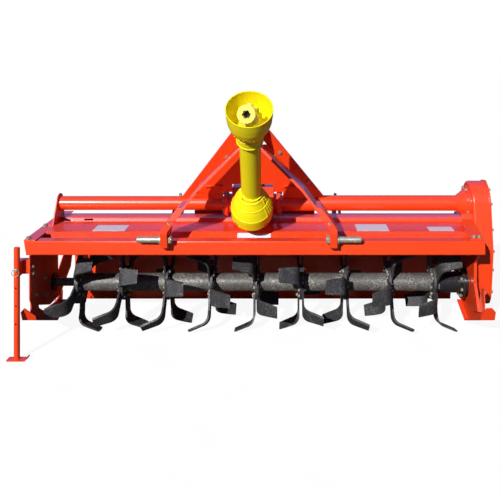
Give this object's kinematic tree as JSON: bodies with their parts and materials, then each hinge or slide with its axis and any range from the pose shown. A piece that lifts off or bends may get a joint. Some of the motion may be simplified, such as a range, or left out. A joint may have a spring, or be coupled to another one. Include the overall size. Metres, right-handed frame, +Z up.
{
  "type": "rotary tiller",
  "caption": "Tractor-mounted side-drive rotary tiller with a tined rotor under a folded hood, three-point hitch, parking stand, tailboard and guarded cardan shaft.",
  "frame": {"origin": "middle of the bounding box at the floor", "axes": "+X to the gear case (right seen from the tractor side), -Y to the tractor, +Z up"},
  "size_m": [2.3096, 1.2543, 1.2597],
  "materials": {
    "red_paint": "gloss red paint on welded steel",
    "red_cast": "red paint on cast iron",
    "tine_steel": "forged tines in dark scale, worn bright at the tips",
    "zinc": "zinc-plated steel",
    "yellow_guard": "yellow moulded plastic",
    "forged_steel": "forged steel, oiled, with yellow paint traces",
    "black_hub": "black paint on cast iron"
  },
  "bodies": {
    "main_frame": {"axle_tube_left": "red_paint", "axle_tube_right": "red_paint", "bearing_left": "black_hub", "cross_rail": "red_paint", "front_beam": "red_paint", "gear_case": "red_paint", "gear_case_cover": "red_paint", "gearbox_body": "red_cast", "gearbox_rear_cover": "red_cast", "hitch_arm_left": "red_paint", "hitch_arm_right": "red_paint", "hood_deck": "red_paint", "lower_pin_left": "zinc", "lower_pin_right": "zinc", "mast_leg_left": "red_paint", "mast_leg_right": "red_paint", "mast_panel": "red_paint", "output_collar": "black_hub", "pto_input_yoke": "forged_steel", "right_brace": "red_paint", "rod_guides": "red_paint", "side_plate_left": "red_paint", "side_plate_right": "red_paint", "skid_left": "red_paint", "skid_right": "red_paint", "stand_bracket": "red_paint", "tail_hinge": "red_paint", "top_link_ears": "red_paint", "tube_ear_left": "red_paint"},
    "rotor_body": {"rotor": "tine_steel"},
    "tail_body": {"tailboard": "red_paint"},
    "rod_left_body": {"spring_rod_left": "zinc"},
    "rod_right_body": {"spring_rod_right": "zinc"},
    "stand_body": {"stand_leg": "red_paint", "stand_pin": "zinc"},
    "shaft_body": {"pto_lower_cross": "forged_steel", "pto_lower_fork": "forged_steel", "pto_inner_guard": "yellow_guard", "pto_lower_bell": "yellow_guard"},
    "telescope_body": {"pto_outer_guard": "yellow_guard", "pto_upper_bell": "yellow_guard", "pto_upper_fork": "forged_steel", "pto_upper_cross": "forged_steel"},
    "tractor_yoke_body": {"pto_tractor_yoke": "forged_steel"}
  },
  "joints": [
    {"name": "rotor_spin", "type": "hinge", "parent": "main_frame", "child": "rotor_body", "pos_m": [-0.037, 0.199, 0.237], "axis": [1, 0, 0], "continuous": true},
    {"name": "tailboard_hinge", "type": "hinge", "parent": "main_frame", "child": "tail_body", "pos_m": [-0.037, 0.517, 0.388], "axis": [1, 0, 0], "range_deg": [0, 50]},
    {"name": "rod_left_pin", "type": "hinge", "parent": "tail_body", "child": "rod_left_body", "pos_m": [-0.467, 0.613, 0.182], "axis": [1, 0, 0], "range_deg": [-20.5, 0.5]},
    {"name": "rod_right_pin", "type": "hinge", "parent": "tail_body", "child": "rod_right_body", "pos_m": [0.393, 0.613, 0.182], "axis": [1, 0, 0], "range_deg": [-20.5, 0.5]},
    {"name": "stand_slide", "type": "slide", "parent": "main_frame", "child": "stand_body", "axis": [0, 0, 1], "range_m": [0, 0.25]},
    {"name": "shaft_pitch", "type": "hinge", "parent": "main_frame", "child": "shaft_body", "pos_m": [-0.04, -0.029, 0.646], "axis": [1, 0, 0], "range_deg": [-8, 46]},
    {"name": "shaft_telescope", "type": "slide", "parent": "shaft_body", "child": "telescope_body", "axis": [0.0244, -0.6945, 0.7191], "range_m": [0, 0.15]},
    {"name": "tractor_yoke_bend", "type": "hinge", "parent": "telescope_body", "child": "tractor_yoke_body", "pos_m": [-0.02197, -0.54151, 1.17671], "axis": [0.9888, -0.1039, 0.1076], "range_deg": [-103, 7]}
  ],
  "couplings": [
    {"joint": "rod_left_pin", "follows": "tailboard_hinge", "ratio": -0.398},
    {"joint": "rod_right_pin", "follows": "tailboard_hinge", "ratio": -0.398}
  ]
}
